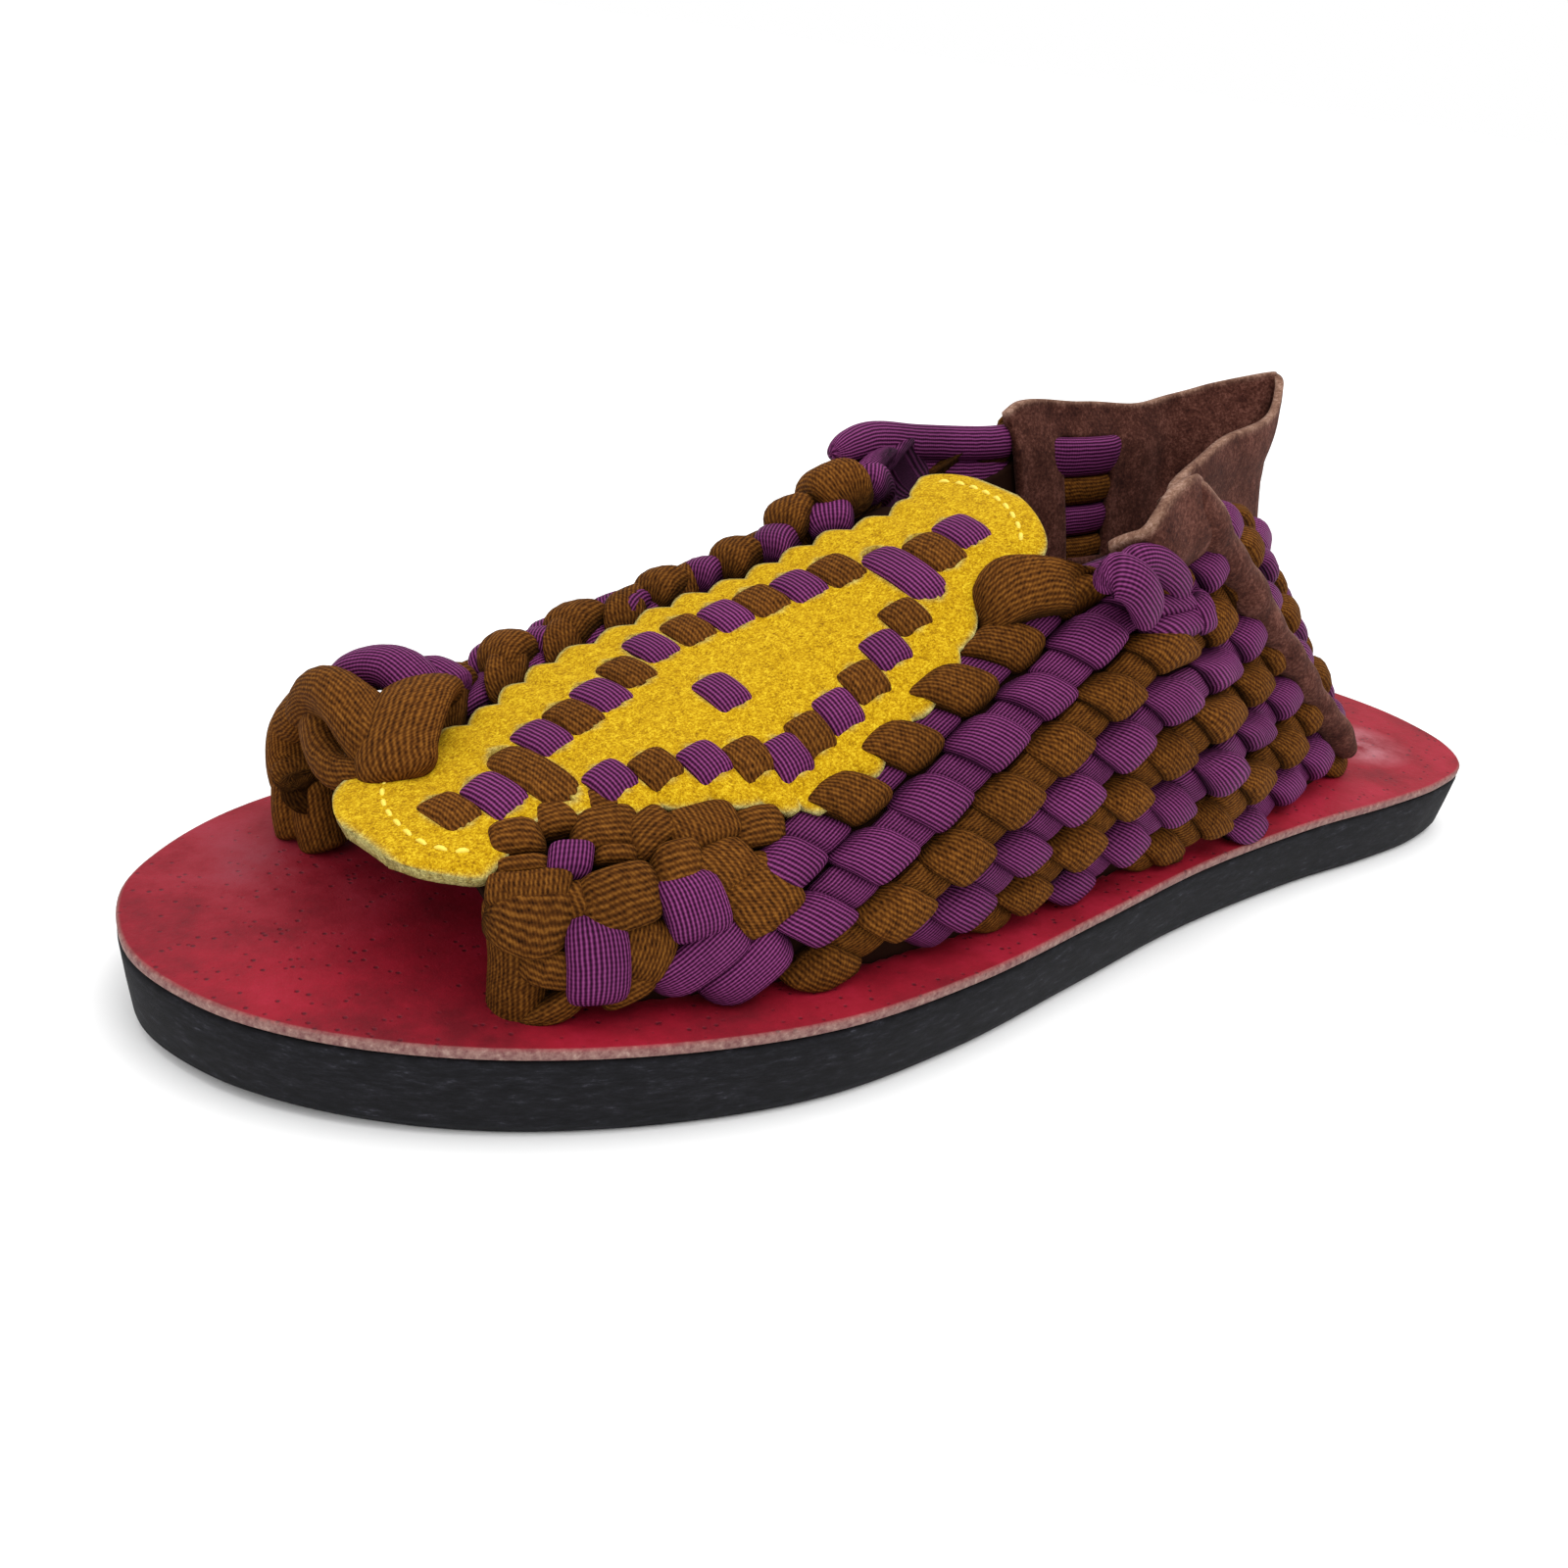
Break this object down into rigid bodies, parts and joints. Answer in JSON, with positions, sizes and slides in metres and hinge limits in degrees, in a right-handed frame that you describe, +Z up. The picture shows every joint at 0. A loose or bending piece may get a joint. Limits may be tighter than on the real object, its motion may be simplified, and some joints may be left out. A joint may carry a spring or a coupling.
{
  "type": "woven slip-on sandal",
  "caption": "Flat slip-on sandal with an open toe, an upper woven from knit tube strips, a slotted suede leaf over the instep and a slack suede heel lining.",
  "frame": {"origin": "on the ground under the sole, half way between the heel end and the toe end", "axes": "+X along the foot to the toe, +Y to the outer side of the left foot, +Z up"},
  "size_m": [0.2904, 0.1046, 0.0878],
  "materials": {
    "sole_rubber": "matte",
    "insole_leather": "matte",
    "knit_strips": "matte",
    "yellow_suede": "matte",
    "brown_suede": "matte"
  },
  "bodies": {
    "root": {"outsole": "sole_rubber", "insole": "insole_leather", "upper": "knit_strips", "vamp_panel": "yellow_suede", "heel_panel": "brown_suede"}
  },
  "joints": []
}
